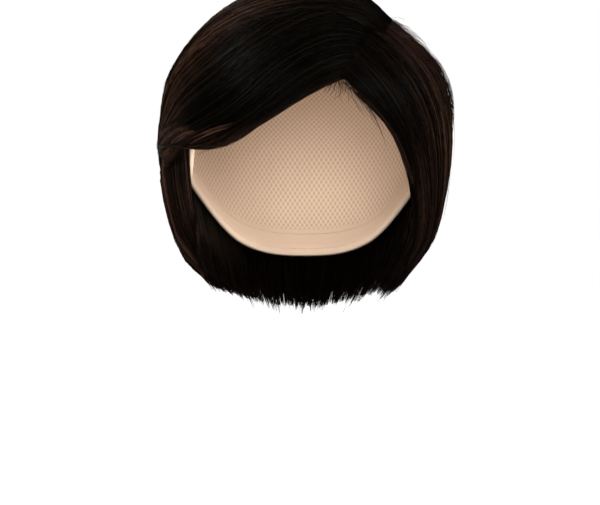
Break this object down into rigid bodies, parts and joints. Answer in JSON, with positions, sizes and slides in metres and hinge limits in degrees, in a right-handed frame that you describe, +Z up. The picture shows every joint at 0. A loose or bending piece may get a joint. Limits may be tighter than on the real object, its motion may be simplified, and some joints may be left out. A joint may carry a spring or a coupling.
{
  "type": "wig",
  "caption": "Short side-parted wig in its worn form: a net cap that carries a swept fringe, top hair, side hair and back hair.",
  "frame": {"origin": "the crown of the cap's inside, where the top of a head bears on it", "axes": "+Z up, the face opening looks along -Y, and +X is the wearer's left"},
  "size_m": [0.1794, 0.2106, 0.1994],
  "materials": {
    "cap_net": "matt skin-toned net cloth",
    "hair": "near-black brown hair with a soft gloss"
  },
  "bodies": {
    "root": {"cap": "cap_net", "fringe": "hair", "top_hair": "hair", "left_side_hair": "hair", "right_side_hair": "hair", "back_hair": "hair"}
  },
  "joints": []
}
